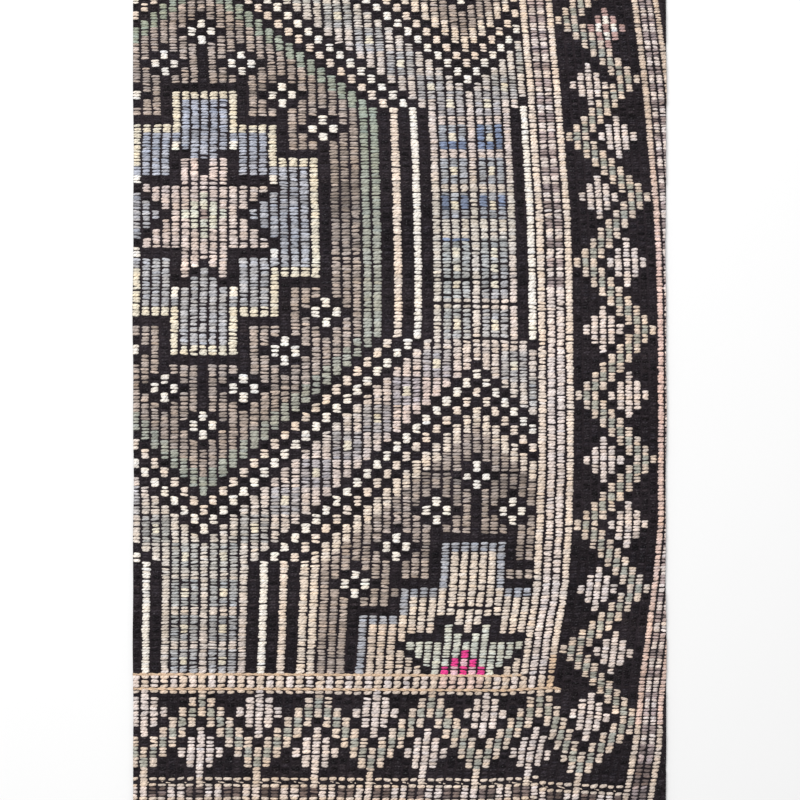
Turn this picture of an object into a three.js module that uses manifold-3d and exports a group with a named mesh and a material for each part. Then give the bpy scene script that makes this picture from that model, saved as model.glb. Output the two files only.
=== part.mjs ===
// A cut length of flat woven jijim rug: raised pattern cords over a dense dark ground.
// Millimetres. X runs across the cords, Y runs along them, Z is up.
// The origin is the centre of the underside, which lies flat.

import * as THREE from 'three';
import { mergeVertices } from 'three/addons/utils/BufferGeometryUtils.js';
import Module from 'manifold-3d';

const wasm = await Module();
wasm.setup();

// Driving dimensions of the cut length.
const CLOTH_WIDTH = 361;
const CLOTH_LENGTH = 560;

// How far the cut edges stray from straight lines, and the waves that they stray in.
const EDGE_WANDER = 0.5;
const EDGE_WAVES = [
  { share: 0.6, turnPerMm: 0.031, phases: 1 },
  { share: 0.4, turnPerMm: 0.083, phases: 2 },
];
const EDGE_PHASES = { lower: 0.4, right: 1.3, upper: 2.1, left: 3.2 };
const EDGE_STEPS_LONG = 14;
const EDGE_STEPS_SHORT = 9;

// Section of one cord: dark groove, then a rounded crown.
const GROOVE_HEIGHT = 1.9;
const CROWN_HEIGHT = 3.0;
const CROWN_SWELL = 0.15;         // slow rise and fall of the crowns over the cloth
const SWELL_WAVES = [
  { turnPerCord: 0.41, turnPerMm: 0.017 },
  { turnPerCord: -0.13, turnPerMm: 0.023 },
];
const SECTION = [
  { across: -0.5, height: GROOVE_HEIGHT },
  { across: -0.22, height: CROWN_HEIGHT },
  { across: 0.22, height: CROWN_HEIGHT },
];

// Cords are counted from the middle of the large medallion, negative to the left.
const FIRST_CORD = -11;
const LAST_CORD = 59;
const STEPS_ALONG = 14;
const SPARE_LENGTH = 20;          // woven length that the cut takes off, at both ends
const SPARE_DEPTH = 5;

// Where the cords lie across the cloth, a little above its middle.
const CORD_PLACES = [
  { cord: -12, x: -211 },
  { cord: 0, x: -131.5 },
  { cord: 8, x: -77.5 },
  { cord: 20, x: 6.6 },
  { cord: 27, x: 52.5 },
  { cord: 34, x: 96.7 },
  { cord: 37, x: 115.8 },
  { cord: 48, x: 177 },
  { cord: 60, x: 235 },
];

// How far each cord has pulled to the left at the lower border.
const LOWER_PULLS = [
  { cord: -12, pull: 0.5 },
  { cord: 0, pull: 4 },
  { cord: 12, pull: 8.2 },
  { cord: 24, pull: 17.8 },
  { cord: 36, pull: 21.6 },
  { cord: 60, pull: 25 },
];
const LOWER_PULL_START = -81;
const LOWER_PULL_SPAN = 176;
const LOWER_PULL_POWER = 1.3;

// How far the cords lean to the left towards the upper end.
const UPPER_PULL_BASE = 3.4;
const UPPER_PULL_PER_CORD = 0.28;
const UPPER_PULL_START = -34;
const UPPER_PULL_SPAN = 305;
const UPPER_PULL_POWER = 3;

const WOOL = new THREE.MeshStandardMaterial({ color: 0x8f857b, roughness: 0.95, metalness: 0 });

/** Straight-line reading of a short table, held at its ends. */
function readTable(rows, key, value, at) {
  const next = rows.findIndex((row) => row[key] >= at);
  if (next === 0) return rows[0][value];
  if (next < 0) return rows[rows.length - 1][value];
  const low = rows[next - 1];
  const high = rows[next];
  const share = (at - low[key]) / (high[key] - low[key]);
  return THREE.MathUtils.lerp(low[value], high[value], share);
}

/** Place across the cloth of a point on a cord: its middle place less both pulls. */
function cordPlace(cord, y) {
  const upper = Math.max(y - UPPER_PULL_START, 0) / UPPER_PULL_SPAN;
  const lower = Math.max(LOWER_PULL_START - y, 0) / LOWER_PULL_SPAN;
  const upperPull = (UPPER_PULL_BASE + UPPER_PULL_PER_CORD * cord) * upper ** UPPER_PULL_POWER;
  const lowerPull = readTable(LOWER_PULLS, 'cord', 'pull', cord) * lower ** LOWER_PULL_POWER;
  return readTable(CORD_PLACES, 'cord', 'x', cord) - upperPull - lowerPull;
}

/** Slow unevenness of the crowns, from two crossing waves. */
function crownSwell(cord, y) {
  const [first, second] = SWELL_WAVES.map((wave) => wave.turnPerCord * cord + wave.turnPerMm * y);
  return CROWN_SWELL * Math.sin(first) * Math.cos(second);
}

/** A closed geometry as a solid that can be cut. */
function toSolid(geometry) {
  geometry.deleteAttribute('normal');
  geometry.deleteAttribute('uv');
  const merged = mergeVertices(geometry, 1e-5);
  return new wasm.Manifold(new wasm.Mesh({
    numProp: 3,
    vertProperties: Float32Array.from(merged.attributes.position.array),
    triVerts: Uint32Array.from(merged.index.array),
  }));
}

/** A cut solid back as a geometry. */
function toGeometry(solid) {
  const mesh = solid.getMesh();
  const geometry = new THREE.BufferGeometry();
  geometry.setAttribute('position', new THREE.BufferAttribute(mesh.vertProperties, 3));
  geometry.setIndex(new THREE.BufferAttribute(mesh.triVerts, 1));
  return geometry;
}

/** The cloth as woven, wider and longer than the cut: a box whose top follows the cords. */
function wovenCloth() {
  const cords = LAST_CORD - FIRST_CORD + 1;
  const stations = cords * SECTION.length;
  const length = CLOTH_LENGTH + 2 * SPARE_LENGTH;
  const box = new THREE.BoxGeometry(stations, length, 1, stations, STEPS_ALONG, 1);
  const points = box.attributes.position;
  for (let i = 0; i < points.count; i += 1) {
    const station = Math.round(points.getX(i) + stations / 2);
    const section = SECTION[station % SECTION.length];
    const middle = FIRST_CORD + Math.floor(station / SECTION.length);
    const cord = middle + section.across;
    const y = points.getY(i);
    const onTop = points.getZ(i) > 0;
    const crown = section.height + crownSwell(middle, y);
    points.setXYZ(i, cordPlace(cord, y), y, onTop ? crown : -SPARE_DEPTH);
  }
  return toSolid(box);
}

/** Gentle wander of a cut edge, fading out at both of its corners. */
function edgeWander(share, half, phase) {
  const waves = EDGE_WAVES.map((wave) => (
    wave.share * Math.sin(wave.turnPerMm * share * half + wave.phases * phase)
  ));
  return EDGE_WANDER * waves.reduce((sum, wave) => sum + wave, 0) * (1 - share ** 4);
}

/** Outline of the cut, walked round from the lower left corner. */
function cutOutline() {
  const halfWidth = CLOTH_WIDTH / 2;
  const halfLength = CLOTH_LENGTH / 2;
  const acrossOut = (t, phase) => halfLength + edgeWander(t, halfWidth, phase);
  const alongOut = (t, phase) => halfWidth + edgeWander(t, halfLength, phase);
  const sides = [
    { steps: EDGE_STEPS_SHORT, at: (t) => [t * halfWidth, -acrossOut(t, EDGE_PHASES.lower)] },
    { steps: EDGE_STEPS_LONG, at: (t) => [alongOut(t, EDGE_PHASES.right), t * halfLength] },
    { steps: EDGE_STEPS_SHORT, at: (t) => [-t * halfWidth, acrossOut(t, EDGE_PHASES.upper)] },
    { steps: EDGE_STEPS_LONG, at: (t) => [-alongOut(t, EDGE_PHASES.left), -t * halfLength] },
  ];
  const points = [];
  for (const side of sides) {
    for (let step = 0; step < side.steps; step += 1) {
      const [x, y] = side.at(-1 + (2 * step) / side.steps);
      points.push(new THREE.Vector2(x, y));
    }
  }
  return new THREE.Shape(points);
}

/** The cut length: the woven cloth inside the outline, standing on a flat underside. */
function cutLength() {
  const tall = 2 * CROWN_HEIGHT;
  const prism = new THREE.ExtrudeGeometry(cutOutline(), { depth: tall, bevelEnabled: false });
  return toGeometry(wovenCloth().intersect(toSolid(prism)));
}

const rug = new THREE.Group();
const cloth = new THREE.Mesh(cutLength(), WOOL);
cloth.name = 'rug_cloth';
rug.add(cloth);

export default rug;
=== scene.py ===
"""A cut length of flat woven jijim rug, lying flat: raised wool cords over a dark ground.

Everything is in metres in the part's own frame: X across the cords, Y along them, Z up, and the
origin at the centre of the underside. Cords are counted to the right and pattern rows downwards
from the middle of the large medallion. A row is one block of the pattern, three picks tall.
"""

import logging
from dataclasses import dataclass, field
from enum import IntEnum

import bpy
import numpy as np
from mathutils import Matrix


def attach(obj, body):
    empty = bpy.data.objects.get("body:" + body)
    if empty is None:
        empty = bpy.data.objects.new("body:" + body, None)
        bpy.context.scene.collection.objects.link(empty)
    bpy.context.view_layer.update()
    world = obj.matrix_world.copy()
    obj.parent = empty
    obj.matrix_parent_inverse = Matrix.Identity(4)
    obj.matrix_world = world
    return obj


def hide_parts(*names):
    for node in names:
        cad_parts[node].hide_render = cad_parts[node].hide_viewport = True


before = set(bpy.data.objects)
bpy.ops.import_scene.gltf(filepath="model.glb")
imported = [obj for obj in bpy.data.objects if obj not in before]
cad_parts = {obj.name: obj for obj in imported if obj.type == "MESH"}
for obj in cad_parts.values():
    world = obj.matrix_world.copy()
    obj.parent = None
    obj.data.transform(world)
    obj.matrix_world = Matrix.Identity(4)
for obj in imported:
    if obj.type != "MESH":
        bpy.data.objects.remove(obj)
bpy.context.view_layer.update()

log = logging.getLogger("jijim_rug")

MM = 0.001
CORD_PITCH = 6.5 * MM
ROW_PITCH = 6.1 * MM
PICKS_PER_ROW = 3
HALF_PICK = 0.5 / PICKS_PER_ROW
SIDE_FIRST_CORD = 38
SIDE_LAST_CORD = 47
CORNER_ROWS = 2
SEARCH_CORDS = (-30, 80)
SEARCH_STEPS = 24
CLOTH_NODE = "rug_cloth"
COLOUR_LAYER = "yarn_colour"
TURN_LAYER = "ply_turn"

Array = np.ndarray
Pair = tuple[Array, Array]
Floats = dict[str, Array]
Piece = bpy.types.Object
Tree = bpy.types.ShaderNodeTree
Node = bpy.types.ShaderNode
Socket = bpy.types.NodeSocket


class Yarn(IntEnum):
    """The dyed yarns of the rug."""

    DARK = 0
    WHITE = 1
    CREAM = 2
    PEACH = 3
    PINK = 4
    ROSE = 5
    BLUSH = 6
    GREY = 7
    BLUE_GREY = 8
    BLUE = 9
    SAGE = 10
    PALE_GREEN = 11
    TAUPE = 12
    BROWN = 13
    MAUVE = 14
    MAGENTA = 15
    TAN = 16
    SAND = 17
    DUSTY = 18
    FERN = 19
    SHELL = 20
    SLATE = 21
    MIST = 22
    BEIGE = 23


@dataclass(frozen=True)
class YarnTone:
    """How a dyed yarn looks and how full its floats lie.

    Attributes:
        colour: display colour, each channel from 0 to 255.
        fullness: thickness of a float as a share of the room between picks.
        unevenness: how far the tone strays from float to float.
        crown: height of the float's middle line above the surface the rug lies on, in metres.
    """

    colour: tuple[float, float, float]
    fullness: float = 1.0
    unevenness: float = 0.06
    crown: float = 2.3 * MM

    def linear(self) -> Array:
        """The colour as linear light, by the usual display curve."""
        share = np.array(self.colour) / 255.0
        return np.where(share <= 0.04045, share / 12.92, ((share + 0.055) / 1.055) ** 2.4)


TONES: dict[Yarn, YarnTone] = {
    Yarn.DARK: YarnTone((41, 36, 40), 0.98, 0.5, crown=2.0 * MM),
    Yarn.WHITE: YarnTone((246, 238, 228), 1.16, 0.07),
    Yarn.CREAM: YarnTone((232, 222, 202), 1.12, 0.11),
    Yarn.BEIGE: YarnTone((232, 216, 200), 1.12, 0.12),
    Yarn.SAND: YarnTone((225, 206, 189), 1.1, 0.13),
    Yarn.PEACH: YarnTone((237, 219, 203), 1.14, 0.11),
    Yarn.PINK: YarnTone((219, 205, 196), 1.1, 0.15),
    Yarn.ROSE: YarnTone((229, 200, 187), 1.12, 0.13),
    Yarn.BLUSH: YarnTone((230, 215, 207), 1.1, 0.14),
    Yarn.GREY: YarnTone((185, 180, 180), 1.0, 0.22),
    Yarn.SLATE: YarnTone((174, 176, 182), 1.02, 0.2),
    Yarn.MIST: YarnTone((180, 178, 180), 1.0, 0.2),
    Yarn.BLUE_GREY: YarnTone((178, 179, 186), 1.05, 0.2),
    Yarn.BLUE: YarnTone((130, 142, 168), 1.02, 0.3),
    Yarn.SAGE: YarnTone((177, 175, 164), 1.1, 0.15),
    Yarn.PALE_GREEN: YarnTone((219, 217, 202), 1.08, 0.13),
    Yarn.TAUPE: YarnTone((180, 165, 155), 1.02, 0.24),
    Yarn.BROWN: YarnTone((120, 104, 99), 0.96, 0.3),
    Yarn.MAUVE: YarnTone((178, 160, 157), 0.96, 0.3),
    Yarn.MAGENTA: YarnTone((244, 70, 148), 1.12, 0.08),
    Yarn.TAN: YarnTone((229, 199, 169), 1.06, 0.12),
    Yarn.DUSTY: YarnTone((192, 158, 150), 1.08, 0.16),
    Yarn.FERN: YarnTone((170, 172, 160), 1.1, 0.14),
    Yarn.SHELL: YarnTone((238, 192, 198), 1.1, 0.12),
}


def rising(value: Array, start: float, span: float) -> Array:
    """Zero up to a start, one from a span further on, and a straight rise between them."""
    return np.clip((value - start) / span, 0, 1)


class SoftNoise:
    """Smooth seeded unevenness over cords and rows.

    Random values on a coarse grid are read in between by straight lines, after the place in each
    cell is eased, so that the slope is zero at every grid point.
    """

    SIDE = 256

    def __init__(self, seed: int, cell_cords: float, cell_rows: float) -> None:
        """Draws the coarse grid from a seed, each cell so many cords wide and rows long."""
        self.cells = np.array([cell_cords, cell_rows])
        self.values = np.random.default_rng(seed).uniform(-1.0, 1.0, (self.SIDE + 1,) * 2)

    def __call__(self, cord: Array, row: Array) -> Array:
        """Reads the unevenness, from -1 to 1, at places given by cord and row."""
        across = np.asarray(cord) / self.cells[0] + self.SIDE / 2
        along = np.asarray(row) / self.cells[1] + self.SIDE / 2
        col = np.floor(across).astype(int) % self.SIDE
        line = np.floor(along).astype(int) % self.SIDE
        u, v = self.eased(across), self.eased(along)
        low = self.values[line, col] * (1 - u) + self.values[line, col + 1] * u
        high = self.values[line + 1, col] * (1 - u) + self.values[line + 1, col + 1] * u
        return low * (1 - v) + high * v

    @staticmethod
    def eased(place: Array) -> Array:
        """Share of the way through a cell, with no slope at either end."""
        share = place - np.floor(place)
        return share * share * (3.0 - 2.0 * share)


@dataclass(frozen=True)
class Table:
    """A short table of values at marked places, read by straight lines and held at its ends."""

    marks: tuple
    values: tuple

    def __call__(self, place: Array) -> Array:
        """Reads the table at places."""
        return np.interp(place, self.marks, self.values)


@dataclass(frozen=True)
class Lean:
    """A place where the cords lean aside together.

    Attributes:
        cord: cord in its middle.
        y_mm: place along the cloth of its middle, in millimetres.
        cords: how many cords it fades over, to each side.
        length_mm: how far it reaches along the cords, to each side, in millimetres.
        shift_mm: how far the cords are moved to the right, in millimetres.
    """

    cord: float
    y_mm: float
    cords: float
    length_mm: float
    shift_mm: float

    def at(self, cord: Array, y: Array) -> Array:
        """Shift in metres: a bell across the cords times a flat-topped bell along them."""
        across = (cord - self.cord) / self.cords
        along = (y / MM - self.y_mm) / self.length_mm
        return self.shift_mm * MM * np.exp(-(across**2) - along**4)


@dataclass(frozen=True)
class ClothMap:
    """Where cords and rows lie on the cut length, and where the cut runs.

    The cord places and the cut outline repeat the CAD part's formulas, in metres.
    """

    width: float = 361 * MM
    length: float = 560 * MM
    crown: float = 3.0 * MM
    swell: float = 0.15 * MM

    place_mm: Table = Table(
        (-12, 0, 8, 20, 27, 34, 37, 48, 60),
        (-211, -131.5, -77.5, 6.6, 52.5, 96.7, 115.8, 177, 235),
    )
    pull_mm: Table = Table((-12, 0, 12, 24, 36, 60), (0.5, 4, 8.2, 17.8, 21.6, 25))
    lower_start: float = -81 * MM
    lower_span: float = 176 * MM
    lower_power: float = 1.3

    upper_base: float = 3.4 * MM
    upper_per_cord: float = 0.28 * MM
    upper_start: float = -34 * MM
    upper_span: float = 305 * MM
    upper_power: int = 3

    leans: tuple = (
        Lean(-4, -7, 7, 86, -1.3),
        Lean(2, 20, 3, 141, -1.2),
        Lean(-3, 200, 5, 28, 1.3),
        Lean(8, 215, 4, 20, 0.8),
        Lean(20.7, -34, 3.5, 82, -1.8),
        Lean(36, 210, 4, 71, -1.6),
        Lean(45, 210, 6, 71, -1.9),
        Lean(33, -85, 6, 30, -1.3),
        Lean(36, -175, 6, 32, -1.8),
        Lean(38, -248, 6, 22, -2.1),
        Lean(45, 0, 2.5, 105, 0.9),
        Lean(46, -240, 5, 40, 2.0),
        Lean(52, -262, 3, 45, 4.5),
    )

    row_mm: Table = Table(
        (-30, -27.5, -14, -7, 0, 6.5, 14.5, 36, 44, 49.4, 49.6, 50.4, 50.6, 59.5, 63, 66),
        (
            292.6, 279.1, 206.6, 166.7, 126.1, 83.2, 30.3, -106.2, -155.2,
            -184.8, -187.4, -194.3, -195.2, -255.5, -279, -299,
        ),
    )
    sag_mm: Table = Table(
        (5, 8, 11, 14, 18, 24, 28, 31, 36, 44, 49, 60),
        (0, 1.4, 3.0, 4.0, 3.7, 3.2, 2.0, 0.8, -0.7, 0, 1.1, 1.0),
    )
    right_rise: float = 3.05 * MM

    side_mm: Table = Table(
        (40, 44, 49.5, 52.5, 55.5, 61.5, 65, 70),
        (-128.2, -153.6, -184.8, -198.9, -217.7, -260.0, -284, -317),
    )
    slope_mm: Table = Table((40, 44, 48, 50, 54, 57), (0.1, 0.3, 0.4, 0.9, 0.9, 0.35))
    top_guard_mm: Table = Table((-30, -20, -16, -9, -7), (2.8, 3.4, 3.6, 0.7, 0))
    top_side_mm: Table = Table((-30, -20, -16, -9, -7), (2.9, 2.4, -0.5, 0.3, 0))

    edge_wander: float = 0.5 * MM
    edge_shares: tuple = (0.6, 0.4)
    edge_turns: tuple = (31.0, 83.0)
    left_phase: float = 3.2
    right_phase: float = 1.3
    lower_phase: float = 0.4
    upper_phase: float = 2.1

    def cord_x(self, cord: Array, y: Array) -> Array:
        """Place across the cloth: the cord's middle place less both pulls, plus the leans.

        Args:
            cord: cord numbers, fractions between cords.
            y: places along the cloth, in metres.

        Returns:
            The places across the cloth, in metres.
        """
        upper = np.maximum(y - self.upper_start, 0) / self.upper_span
        lower = np.maximum(self.lower_start - y, 0) / self.lower_span
        upper_pull = (self.upper_base + self.upper_per_cord * cord) * upper**self.upper_power
        lower_pull = self.pull_mm(cord) * MM * lower**self.lower_power
        aside = sum(lean.at(cord, y) for lean in self.leans)
        place = self.place_mm(cord) * MM
        return place - upper_pull - lower_pull + aside

    def row_y(self, row: Array, cord: Array) -> Array:
        """Place along the cloth: the row's mark, less the field's sag, plus the border's rise.

        The sag grows to the field's right side and ends in the inner guard. The rise is the side
        border's. Low down, the side border has rows of its own, which slope to the right.

        Args:
            row: row numbers, thirds of a row for picks.
            cord: cord numbers.

        Returns:
            The places along the cloth, in metres.
        """
        border = rising(cord, 32, 5)
        field_sag = self.sag_mm(row) * MM * rising(cord, 6, 26) * (1 - border)
        rise = self.right_rise * rising(row, 5, 25) * np.clip(cord / 48, 0, 1.2)
        rise = rise * border * (1 - 0.7 * rising(row, 46, 4))
        in_side = cord > SIDE_FIRST_CORD - 0.5
        top_guard = self.top_guard_mm(row) * rising(cord, 32.5, 1)
        top_mm = np.where(in_side, self.top_side_mm(row), top_guard)
        above = self.row_mm(row) * MM - field_sag + rise + top_mm * MM
        slope = self.slope_mm(row) * np.clip(cord - 43, -5, 4)
        beside = (self.side_mm(row) - slope) * MM
        share = rising(row, 42.5, 2) * in_side
        return above * (1 - share) + beside * share

    def line_y(self, row: float, cord: Array) -> Array:
        """Place along the cloth of a line that crosses into the side border near its lower end."""
        share = rising(cord, SIDE_FIRST_CORD - 1, 1)
        near = self.row_y(row, np.minimum(cord, SIDE_FIRST_CORD - 1))
        far = self.row_y(row + CORNER_ROWS, np.maximum(cord, SIDE_FIRST_CORD))
        return near * (1 - share) + far * share

    def crown_swell(self, cord: Array, y: Array) -> Array:
        """Slow rise and fall of the crowns, from two crossing waves."""
        first = np.sin(0.41 * cord + 17.0 * y)
        second = np.cos(-0.13 * cord + 23.0 * y)
        return self.swell * first * second

    def wander(self, share: Array, half: float, phase: float) -> Array:
        """How far a cut edge strays outwards: two waves that fade out at both corners."""
        waves = sum(
            size * np.sin(turn * share * half + (step + 1) * phase)
            for step, (size, turn) in enumerate(zip(self.edge_shares, self.edge_turns))
        )
        return self.edge_wander * waves * (1 - share**4)

    def side_edges(self, y: Array) -> Pair:
        """Left and right edge of the cut at places along the cloth, in metres."""
        half = self.length / 2
        share = np.clip(y / half, -1, 1)
        left = -self.width / 2 - self.wander(-share, half, self.left_phase)
        right = self.width / 2 + self.wander(share, half, self.right_phase)
        return left, right

    def end_edges(self, x: Array) -> Pair:
        """Lower and upper edge of the cut at places across the cloth, in metres."""
        half = self.width / 2
        share = np.clip(x / half, -1, 1)
        lower = -self.length / 2 - self.wander(share, half, self.lower_phase)
        upper = self.length / 2 + self.wander(-share, half, self.upper_phase)
        return lower, upper

    def trim(self, points: Array) -> Array:
        """Points moved sideways onto the cut outline where they lie outside it."""
        left, right = self.side_edges(points[..., 1])
        lower, upper = self.end_edges(points[..., 0])
        trimmed = points.copy()
        trimmed[..., 0] = np.clip(points[..., 0], left, right)
        trimmed[..., 1] = np.clip(points[..., 1], lower, upper)
        return trimmed


CLOTH = ClothMap()


@dataclass
class PatternChart:
    """Which yarn floats over each cord at each pick, worked out from the rug's own repeats.

    Attributes:
        half_width: cords from a large lozenge's middle to a low one's, and half_height the rows.
        blunt: rows from a lozenge's middle over which its sides run straight.
        large: cords and rows of each block from the middle of the nearest large lozenge.
        low: the same from the nearest lozenge between the large ones.
        pull: how far each pick is drawn towards a missed one, as a share of a pick.
    """

    first_cord: int = -12
    last_cord: int = 60
    first_row: int = -30
    last_row: int = 70

    field_last_cord: int = 33
    field_last_row: int = 49
    half_width: int = 27
    half_height: int = 49
    blunt: int = 12

    cords: Array = field(init=False)
    rows: Array = field(init=False)
    in_field: Array = field(init=False)
    large: Pair = field(init=False)
    low: Pair = field(init=False)
    blocks: Array = field(init=False)
    picks: Array = field(init=False)
    pull: Array = field(init=False)

    # One quarter of the large medallion: rows from its middle downwards, cords to the right.
    LARGE_MEDALLION = (
        "nggpkbbbbbbc",
        "ggpppkbbbbbc",
        "gpppppkbbbbc",
        "pppppppkbbbc",
        "pppkkkkwbbbc",
        "kppkbbbbbbbc",
        "bkpkbbbccccc",
        "bbkkbbbc",
        "bbbwbbbc",
        "bbbbbbbc",
        "bbbccccc",
        "bbbc",
        "bbbc",
        "bbbc",
        "cccc",
    )
    LETTERS = {
        "n": Yarn.MAUVE,
        "g": Yarn.PALE_GREEN,
        "p": Yarn.PINK,
        "k": Yarn.DARK,
        "b": Yarn.BLUE_GREY,
        "c": Yarn.CREAM,
        "w": Yarn.WHITE,
    }

    # Cord and row of each flower from the medallion's middle, and the row where its stem starts.
    FLOWERS = ((0, 22, 16), (4, 18, 12), (8, 14, 8), (12, 10, 8))
    # For each cord from the star's middle: its first and last green row, then its dark rows.
    STAR_ARMS = {0: (0, 3), 1: (0, 4), 2: (0, 5), 3: (0, 3), 4: (1, 3), 5: (2, 3), 6: (3, 3)}
    STAR_EDGE = {0: (4,), 1: (5,), 2: (6,), 3: (4, 5, 6), 4: (4, 0), 5: (4, 1), 6: (4, 2), 7: (3,)}

    # Blocks that differ beside the low medallion: cords, first and last row, yarn.
    LOW_CHANGES = (
        ((32, 33), 35, 36, Yarn.TAUPE),
        ((31, 32, 33), 37, 37, Yarn.DARK),
        ((31, 32, 33), 38, 38, Yarn.TAUPE),
        ((31, 32, 33), 39, 39, Yarn.DARK),
        ((19,), 40, 40, Yarn.TAUPE),
        ((19,), 41, 42, Yarn.DARK),
        ((20,), 37, 38, Yarn.TAUPE),
    )

    # Picks where the ground shows: row, first and last cord. Then picks of deeper blue: first
    # and last row, cords.
    MISSED_PICKS = (
        (-3.33, -5, 6),
        (4.33, 13, 15),
        (6.67, 24, 30),
        (9.0, 23, 31),
        (12.33, 27, 30),
        (26.67, 22, 31),
        (41.67, 25, 29),
    )
    BLUE_PICKS = (
        (-10.33, -8.67, (28, 30)),
        (-8.33, -7.67, (24, 25, 26, 28, 29, 30)),
        (-2.0, -0.67, (24, 26)),
        (-2.0, -1.0, (28, 30)),
        (2.67, 2.67, (24, 25, 26)),
    )
    CLOSING = 0.1
    BAY_DROP = 2

    def __post_init__(self) -> None:
        """Paints the blocks in order, then the single picks."""
        self.cords, self.rows = np.meshgrid(
            np.arange(self.first_cord, self.last_cord + 1),
            np.arange(self.first_row, self.last_row + 1),
        )
        self.in_field = (self.cords <= self.field_last_cord) & (self.rows <= self.field_last_row)
        from_large = (self.cords + self.half_width) % (2 * self.half_width) - self.half_width
        self.large = (np.abs(from_large), np.abs(self.rows))
        self.low = tuple(
            np.abs(away - half)
            for away, half in zip(self.large, (self.half_width, self.half_height))
        )
        self.blocks = np.full(self.cords.shape, Yarn.DARK)
        self.paint_filler()
        self.paint_lozenges()
        self.paint_flowers()
        self.paint_large_medallion()
        self.paint_low_medallion()
        self.paint_inner_guard()
        self.paint_side_border()
        self.paint_outer_guard()
        self.paint_lower_border()
        self.picks = np.repeat(self.blocks, PICKS_PER_ROW, axis=0)
        self.pull = np.zeros(self.picks.shape)
        self.lower_upper_bay()
        self.paint_single_picks()
        self.paint_irregular_picks()

    def paint(self, mask: Array, yarn: Yarn) -> None:
        """Gives the blocks in a mask one yarn."""
        self.blocks[mask] = yarn

    def paint_field(self, *layers: tuple[Array, Yarn]) -> None:
        """Gives the field's blocks in each layer's mask its yarn, one layer over the other."""
        for mask, yarn in layers:
            self.paint(mask & self.in_field, yarn)

    def paint_filler(self) -> None:
        """Pink bands between the lozenges, with grey squares that hold one cream block each."""
        self.paint(self.in_field, Yarn.PINK)
        across, along = self.large
        slanting = [(2 + 3 * step, 36 - 3 * step) for step in range(8)]
        upright = [(2, row) for row in (40, 44, 48)]
        for cord, row in slanting + upright:
            square = (np.abs(across - cord) <= 1) & (np.abs(along - row) <= 1)
            middle = (across == cord) & (along == row)
            grey = Yarn.GREY if row < 40 else Yarn.MIST
            self.paint_field((square, grey), (middle, Yarn.CREAM))
        from_low = self.low[0]
        for row in (11, 7, 4, -1, -5, -9, -13):
            near = (np.abs(from_low - 2) <= 1) & (along <= 14) & (np.abs(self.rows - row) <= 1)
            middle = (from_low == 2) & (self.rows == row)
            grey = Yarn.GREY if row < -9 else Yarn.SLATE if row < 0 else Yarn.MIST
            self.paint_field((near, grey), (middle, Yarn.CREAM))

    def paint_lozenges(self) -> None:
        """Stepped outlines round both lozenges, and the taupe inside them, all by a block's reach.

        The reach is its cords plus its rows from the middle, with no fewer rows than the blunt.
        """
        for offsets, inner in ((self.large, Yarn.FERN), (self.low, Yarn.BEIGE)):
            reach = offsets[0] + np.maximum(offsets[1], self.blunt)
            self.paint_field(
                (reach <= 34, Yarn.DARK),
                (reach == 33, Yarn.WHITE),
                (reach == 31, Yarn.PEACH),
                (reach <= 29, inner),
                (reach < 28, Yarn.TAUPE),
            )

    def paint_flowers(self) -> None:
        """White four-petalled flowers on dark stems, round each medallion."""
        for across, along in (self.large, self.low):
            for cord, row, stem in self.FLOWERS:
                side = np.abs(across - cord)
                rise = along - row
                bud = (side <= 1) & (np.abs(rise) <= 1)
                tips = ((side == 2) & (rise == 0)) | ((side == 0) & (rise == 2))
                stalk = (side == 0) & (along >= stem) & (rise < 0)
                petals = bud & (side + np.abs(rise) == 1)
                self.paint_field((bud | tips | stalk, Yarn.DARK), (petals, Yarn.WHITE))

    @staticmethod
    def tier_outline(offsets: Pair, cord: int, top: int, foot: int) -> Array:
        """Mask of a medallion's tier: four cords inwards along its top, and down to its foot."""
        across, along = offsets
        over = (along == top) & (across <= cord) & (across >= cord - 4)
        return over | ((across == cord) & (along <= top) & (along >= foot))

    def paint_large_medallion(self) -> None:
        """The stepped medallion with its star, from one charted quarter."""
        across, along = self.large
        for cord, top, foot in ((4, 15, 11), (8, 11, 7), (12, 7, 0)):
            self.paint_field((self.tier_outline(self.large, cord, top, foot), Yarn.DARK))
        for row, letters in enumerate(self.LARGE_MEDALLION):
            for cord, letter in enumerate(letters):
                block = (across == cord) & (along == row)
                self.paint_field((block, self.LETTERS[letter]))
        self.paint((self.cords == 0) & np.isin(self.rows, (-6, -5)), Yarn.DARK)
        self.paint_field(((across == 1) & (self.rows == -6), Yarn.PINK))

    def paint_low_medallion(self) -> None:
        """The medallion that the lower border cuts across, three tiers with a pale star."""
        across, along = self.low
        here = self.in_field & (self.rows > 0)
        for cord, top, foot in ((4, 15, 10), (8, 10, 7), (12, 7, 0)):
            inside = here & (across < cord) & (along < top) & (along >= foot)
            self.paint(inside, Yarn.BEIGE)
            rim = (across == cord - 1) | (along == top - 1)
            self.paint(inside & rim & (across >= cord - 4), Yarn.BLUE_GREY)
            self.paint(here & self.tier_outline(self.low, cord, top, foot), Yarn.DARK)
        self.paint(here & (across <= 3) & (along == 14), Yarn.BLUE_GREY)
        self.paint(here & (across < 12) & (along < 6), Yarn.SAND)
        self.paint(here & (across == 11) & (along < 6), Yarn.BLUE_GREY)
        for cord, (low, high) in self.STAR_ARMS.items():
            arm = here & (across == cord) & (along >= low) & (along <= high)
            self.paint(arm, Yarn.PALE_GREEN)
        for cord, levels in self.STAR_EDGE.items():
            self.paint(here & (across == cord) & np.isin(along, levels), Yarn.DARK)
        for away, yarn in enumerate((Yarn.MAGENTA, Yarn.SHELL, Yarn.MAGENTA)):
            self.paint(here & (across + along == away), yarn)
        for cords, first, last, yarn in self.LOW_CHANGES:
            span = np.isin(self.cords, cords) & (self.rows >= first) & (self.rows <= last)
            self.paint(span, yarn)

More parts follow.
